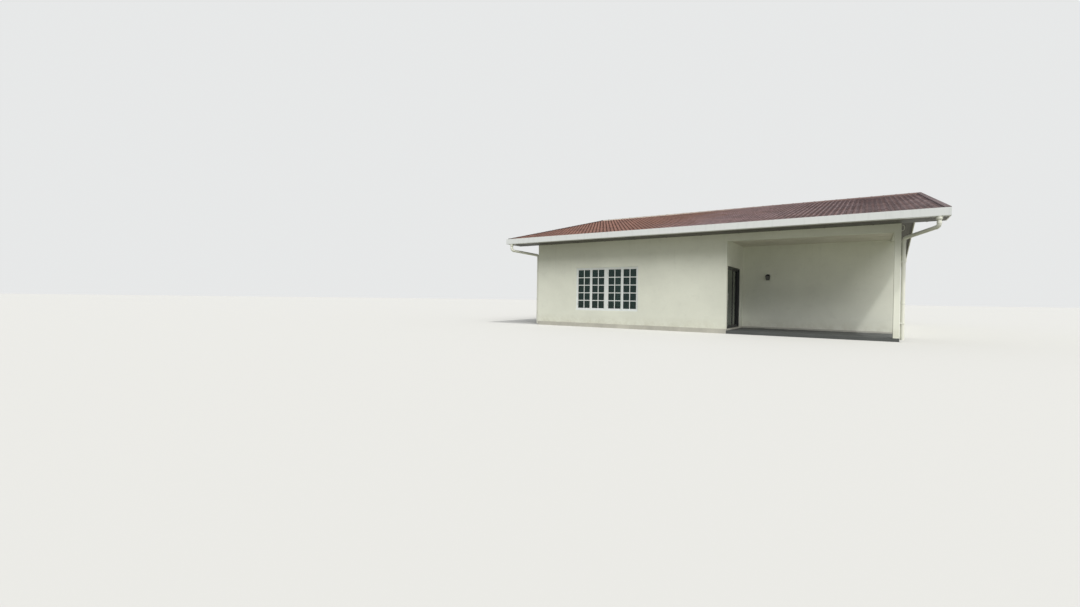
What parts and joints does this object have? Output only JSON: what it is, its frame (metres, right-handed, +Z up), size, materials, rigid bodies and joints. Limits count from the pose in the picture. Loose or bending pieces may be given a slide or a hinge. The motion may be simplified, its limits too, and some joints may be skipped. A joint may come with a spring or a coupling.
{
  "type": "single-storey bungalow with a corner porch",
  "caption": "Hollow single-storey house with a low gabled tiled roof, box gutters, casement windows, a recessed corner porch on a slim column and a sliding glass door.",
  "frame": {"origin": "on the ground, in the middle of the plan", "axes": "+X to the right along the front as seen from the street, +Y from the street into the house, +Z up"},
  "size_m": [14, 17.15, 5.4913],
  "materials": {
    "cream_render": "painted cement render",
    "concrete_floor": "trowelled concrete",
    "roof_tile": "weathered matt tile",
    "white_gutter": "white paint, satin",
    "white_pipe": "white pipe, matt",
    "painted_timber": "dark painted boards",
    "ceiling_board": "painted ceiling board",
    "white_window": "white powder coat",
    "dark_aluminium": "dark bronze anodised",
    "door_timber": "varnished",
    "window_glass": "clear, dark behind",
    "lamp_metal": "black paint"
  },
  "bodies": {
    "house": {"floor_slab": "concrete_floor", "porch_floor": "concrete_floor", "front_wall": "cream_render", "rear_wall": "cream_render", "left_wall": "cream_render", "right_wall": "cream_render", "porch_back_wall": "cream_render", "porch_side_wall": "cream_render", "porch_door_lintel": "cream_render", "porch_front_beam": "cream_render", "porch_side_beam": "cream_render", "porch_column": "cream_render", "room_ceiling": "ceiling_board", "porch_ceiling": "ceiling_board", "front_roof_slope": "roof_tile", "rear_roof_slope": "roof_tile", "ridge_cap": "roof_tile", "front_fascia": "painted_timber", "rear_fascia": "painted_timber", "front_soffit": "painted_timber", "rear_soffit": "painted_timber", "eave_returns": "painted_timber", "bargeboards": "painted_timber", "front_gutter": "white_gutter", "rear_gutter": "white_gutter", "front_left_downpipe": "white_pipe", "front_right_downpipe": "white_pipe", "rear_downpipes": "white_pipe", "front_window_frames": "white_window", "front_window_sashes": "white_window", "front_window_glass": "window_glass", "side_window_frames": "white_window", "side_window_sashes": "white_window", "side_window_glass": "window_glass", "rear_window_frames": "white_window", "rear_window_sashes": "white_window", "rear_window_glass": "window_glass", "sliding_door_frame": "dark_aluminium", "sliding_door_fixed_panel": "dark_aluminium", "sliding_door_fixed_glass": "window_glass", "rear_door_frame": "door_timber", "rear_door": "door_timber", "porch_wall_light": "lamp_metal"},
    "door_leaf": {"sliding_door_leaf": "dark_aluminium", "sliding_door_leaf_glass": "window_glass"}
  },
  "joints": [
    {"name": "sliding_door_slide", "type": "slide", "parent": "house", "child": "door_leaf", "axis": [0, 1, 0], "range_m": [0, 0.86]}
  ]
}
